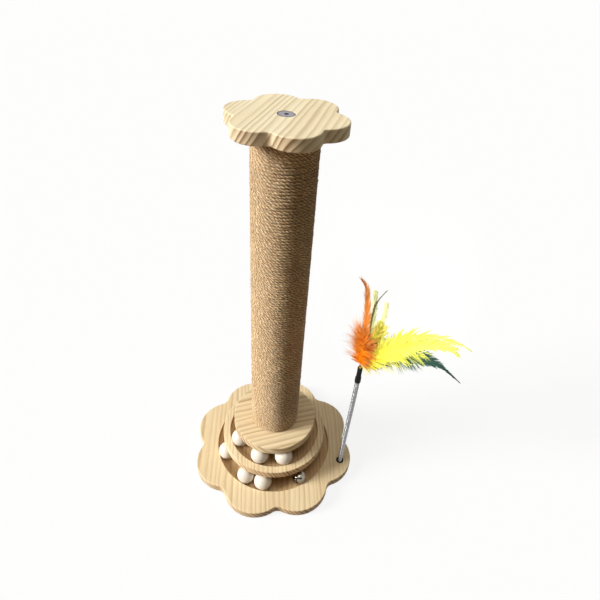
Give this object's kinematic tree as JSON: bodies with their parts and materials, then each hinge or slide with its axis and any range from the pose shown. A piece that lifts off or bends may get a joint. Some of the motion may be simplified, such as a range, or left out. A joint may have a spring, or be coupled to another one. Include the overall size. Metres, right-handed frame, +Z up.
{
  "type": "cat scratching post",
  "caption": "Sisal-wound scratching column on a flower-shaped wooden base with ball tracks, a jingle bell and a feather toy on a spring.",
  "frame": {"origin": "column axis at floor level, the middle of the pad under the base", "axes": "+Z up along the column; the picture looks along +Y from the -Y side, with +X to its right"},
  "size_m": [0.3975, 0.2792, 0.61],
  "materials": {
    "pine": "sanded, clear satin lacquer",
    "ball_wood": "turned and polished",
    "cardboard": "spiral wound, bare",
    "sisal": "twisted natural fibre",
    "zinc": "zinc plated",
    "chrome": "bright plated",
    "spring_steel": "bright nickel plated wire",
    "black_rubber": "matt",
    "pad_foam": "closed-cell foam",
    "orange_feather": "dyed feather",
    "orange_down": "dyed down",
    "yellow_feather": "dyed feather",
    "pale_yellow_feather": "dyed feather",
    "green_feather": "dyed feather with a dark sheen",
    "olive_feather": "dyed feather"
  },
  "bodies": {
    "post": {"foot_pad_1": "pad_foam", "foot_pad_2": "pad_foam", "foot_pad_3": "pad_foam", "foot_pad_4": "pad_foam", "foot_pad_5": "pad_foam", "foot_pad_6": "pad_foam", "foot_pad_7": "pad_foam", "foot_pad_8": "pad_foam", "centre_pad": "pad_foam", "base_board": "pine", "lower_spacer": "pine", "tray_board": "pine", "upper_spacer": "pine", "cap_disc": "pine", "post_tube": "cardboard", "bottom_plug": "pine", "bottom_insert_nut": "zinc", "bottom_bolt": "zinc", "top_plug": "pine", "top_insert_nut": "zinc", "top_bolt": "zinc", "sisal_bottom_turns": "sisal", "sisal_wrap": "sisal", "sisal_top_turns": "sisal", "top_board": "pine", "spring_bush": "black_rubber"},
    "lower_ball_1": {"lower_ball_1": "ball_wood"},
    "lower_ball_2": {"lower_ball_2": "ball_wood"},
    "lower_ball_3": {"lower_ball_3": "ball_wood"},
    "bell": {"bell_upper_shell": "chrome", "bell_lower_shell": "chrome"},
    "pellet": {"bell_pellet": "zinc"},
    "upper_ball_1": {"upper_ball_1": "ball_wood"},
    "upper_ball_2": {"upper_ball_2": "ball_wood"},
    "upper_ball_3": {"upper_ball_3": "ball_wood"},
    "spring": {"toy_spring": "spring_steel"},
    "toy_head": {"toy_sleeve": "black_rubber", "orange_hackle": "orange_feather", "orange_fluff": "orange_down", "yellow_plume": "yellow_feather", "yellow_hackle": "yellow_feather", "green_hackle": "green_feather", "yellow_fluff": "yellow_feather", "yellow_strip_right": "pale_yellow_feather", "yellow_strip_left": "pale_yellow_feather", "olive_hackle": "olive_feather"}
  },
  "joints": [
    {"name": "lower_ball_1_roll", "type": "hinge", "parent": "post", "child": "lower_ball_1", "pos_m": [0, 0, 0.0233], "axis": [0, 0, 1], "continuous": true},
    {"name": "lower_ball_2_roll", "type": "hinge", "parent": "lower_ball_1", "child": "lower_ball_2", "pos_m": [0, 0, 0.0233], "axis": [0, 0, 1], "range_deg": [-19.1, 74.1]},
    {"name": "lower_ball_3_roll", "type": "hinge", "parent": "lower_ball_2", "child": "lower_ball_3", "pos_m": [0, 0, 0.0233], "axis": [0, 0, 1], "range_deg": [-0.6, 92.6]},
    {"name": "bell_roll", "type": "hinge", "parent": "lower_ball_3", "child": "bell", "pos_m": [0, 0, 0.0203], "axis": [0, 0, 1], "range_deg": [-23.7, 71.8]},
    {"name": "pellet_rattle", "type": "slide", "parent": "bell", "child": "pellet", "axis": [0, 0, 1], "range_m": [0, 0.0164]},
    {"name": "upper_ball_1_roll", "type": "hinge", "parent": "post", "child": "upper_ball_1", "pos_m": [0, 0, 0.0623], "axis": [0, 0, 1], "continuous": true},
    {"name": "upper_ball_2_roll", "type": "hinge", "parent": "upper_ball_1", "child": "upper_ball_2", "pos_m": [0, 0, 0.0623], "axis": [0, 0, 1], "range_deg": [-16.2, 121.6]},
    {"name": "upper_ball_3_roll", "type": "hinge", "parent": "upper_ball_2", "child": "upper_ball_3", "pos_m": [0, 0, 0.0623], "axis": [0, 0, 1], "range_deg": [-9.2, 128.6]},
    {"name": "toy_sway", "type": "hinge", "parent": "post", "child": "spring", "pos_m": [0.12024, -0.03813, 0.045], "axis": [0.9532, -0.3024, 0], "range_deg": [-50, 50], "stiffness_Nm_per_rad": 0.15, "deforming": ["toy_spring"]},
    {"name": "toy_nod", "type": "hinge", "parent": "spring", "child": "toy_head", "pos_m": [0.1211, -0.03836, 0.102], "axis": [0.3024, 0.9532, 0], "range_deg": [-9, 50], "stiffness_Nm_per_rad": 0.15, "deforming": ["toy_spring"]}
  ]
}
